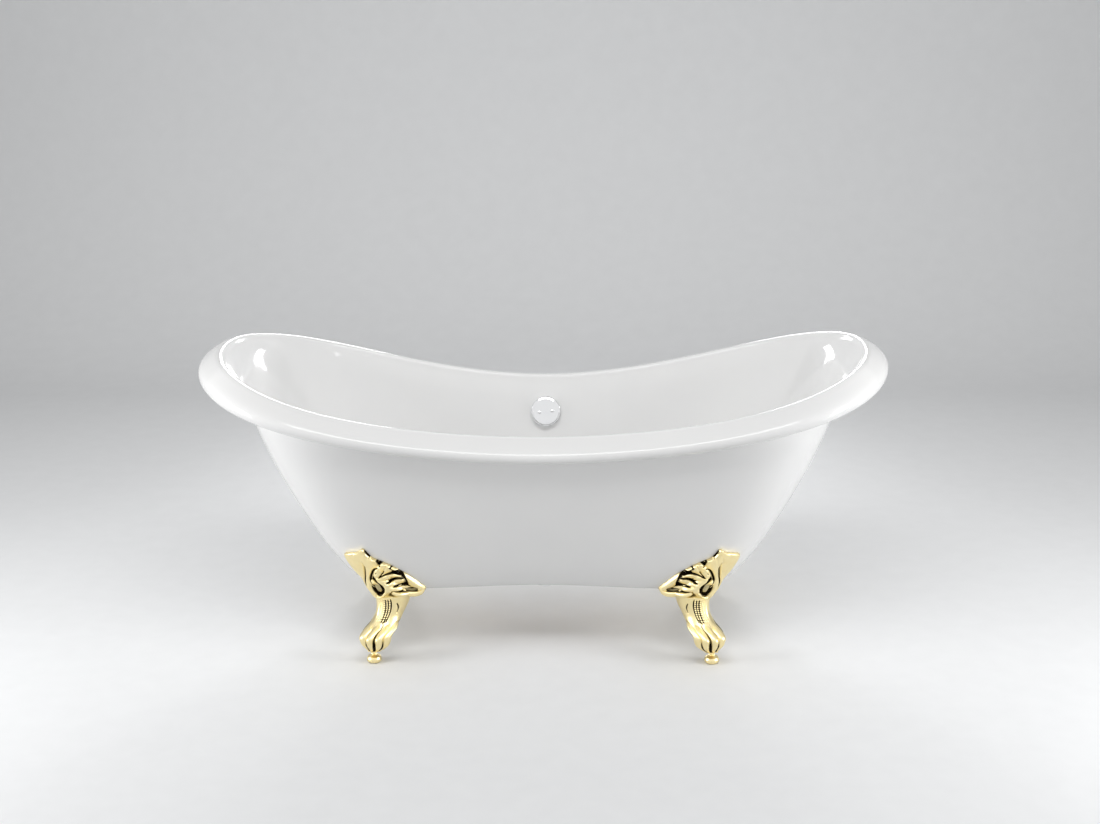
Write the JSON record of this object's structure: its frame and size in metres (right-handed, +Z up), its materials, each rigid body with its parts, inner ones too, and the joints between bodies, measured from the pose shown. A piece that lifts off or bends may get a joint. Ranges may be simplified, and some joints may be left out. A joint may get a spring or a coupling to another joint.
{
  "type": "clawfoot bathtub",
  "caption": "Free-standing double-slipper acrylic bathtub with a rolled rim, on cast ball-and-claw feet that level by screw, with a push plug waste and an overflow.",
  "frame": {"origin": "on the floor, under the middle of the tub", "axes": "+X along the tub, +Y towards the overflow wall, +Z up"},
  "size_m": [1.7302, 0.765, 0.7644],
  "materials": {
    "white_acrylic": "high gloss, cast acrylic sheet",
    "polished_gold": "polished gold plating on a casting",
    "chromed_brass": "bright chrome",
    "raw_brass": "turned, unplated",
    "zinc_steel": "zinc plated",
    "plywood": "sanded plywood",
    "black_rubber": "moulded",
    "white_polypropylene": "moulded",
    "grey_nylon": "moulded"
  },
  "bodies": {
    "tub": {"inner_shell": "white_acrylic", "outer_shell": "white_acrylic", "base_board": "plywood", "foot_bolts": "zinc_steel", "foot_washers": "zinc_steel", "foot_nuts": "zinc_steel", "board_screws": "zinc_steel", "waste_upper_seal": "black_rubber", "waste_lower_seal": "black_rubber", "waste_flange": "chromed_brass", "waste_body": "white_polypropylene", "tailpiece": "chromed_brass", "tailpiece_seal": "black_rubber", "tailpiece_nut": "chromed_brass", "plug_cartridge": "raw_brass", "overflow_cover": "chromed_brass", "overflow_screws": "chromed_brass", "overflow_front_gasket": "black_rubber", "overflow_back_gasket": "black_rubber", "overflow_elbow": "white_polypropylene", "overflow_hose": "white_polypropylene", "hose_nuts": "white_polypropylene", "foot_bracket_front_left": "zinc_steel", "claw_foot_front_left": "polished_gold", "thread_insert_front_left": "raw_brass", "foot_bracket_front_right": "zinc_steel", "claw_foot_front_right": "polished_gold", "thread_insert_front_right": "raw_brass", "foot_bracket_rear_left": "zinc_steel", "claw_foot_rear_left": "polished_gold", "thread_insert_rear_left": "raw_brass", "foot_bracket_rear_right": "zinc_steel", "claw_foot_rear_right": "polished_gold", "thread_insert_rear_right": "raw_brass"},
    "plug": {"plug_cap": "chromed_brass", "plug_seal": "black_rubber", "plug_stem": "raw_brass"},
    "glide_front_left": {"floor_glide_front_left": "grey_nylon"},
    "stud_front_left": {"leveller_stud_front_left": "polished_gold"},
    "glide_front_right": {"floor_glide_front_right": "grey_nylon"},
    "stud_front_right": {"leveller_stud_front_right": "polished_gold"},
    "glide_rear_left": {"floor_glide_rear_left": "grey_nylon"},
    "stud_rear_left": {"leveller_stud_rear_left": "polished_gold"},
    "glide_rear_right": {"floor_glide_rear_right": "grey_nylon"},
    "stud_rear_right": {"leveller_stud_rear_right": "polished_gold"}
  },
  "joints": [
    {"name": "plug_press", "type": "slide", "parent": "tub", "child": "plug", "axis": [0, 0, 1], "range_m": [-0.009, 0], "stiffness_N_per_m": 300, "springref_m": 0.012},
    {"name": "level_front_left", "type": "slide", "parent": "tub", "child": "glide_front_left", "axis": [0, 0, 1], "range_m": [-0.015, 0.006]},
    {"name": "turn_front_left", "type": "hinge", "parent": "glide_front_left", "child": "stud_front_left", "pos_m": [-0.425, -0.24, 0], "axis": [0, 0, 1], "range_deg": [-3660, 1500]},
    {"name": "level_front_right", "type": "slide", "parent": "tub", "child": "glide_front_right", "axis": [0, 0, 1], "range_m": [-0.015, 0.006]},
    {"name": "turn_front_right", "type": "hinge", "parent": "glide_front_right", "child": "stud_front_right", "pos_m": [0.425, -0.24, 0], "axis": [0, 0, 1], "range_deg": [-3660, 1500]},
    {"name": "level_rear_left", "type": "slide", "parent": "tub", "child": "glide_rear_left", "axis": [0, 0, 1], "range_m": [-0.015, 0.006]},
    {"name": "turn_rear_left", "type": "hinge", "parent": "glide_rear_left", "child": "stud_rear_left", "pos_m": [-0.425, 0.24, 0], "axis": [0, 0, 1], "range_deg": [-3660, 1500]},
    {"name": "level_rear_right", "type": "slide", "parent": "tub", "child": "glide_rear_right", "axis": [0, 0, 1], "range_m": [-0.015, 0.006]},
    {"name": "turn_rear_right", "type": "hinge", "parent": "glide_rear_right", "child": "stud_rear_right", "pos_m": [0.425, 0.24, 0], "axis": [0, 0, 1], "range_deg": [-3660, 1500]}
  ],
  "couplings": [
    {"joint": "turn_front_left", "follows": "level_front_left", "rad_per_m": 4188.8},
    {"joint": "turn_front_right", "follows": "level_front_right", "rad_per_m": 4188.8},
    {"joint": "turn_rear_left", "follows": "level_rear_left", "rad_per_m": 4188.8},
    {"joint": "turn_rear_right", "follows": "level_rear_right", "rad_per_m": 4188.8}
  ]
}
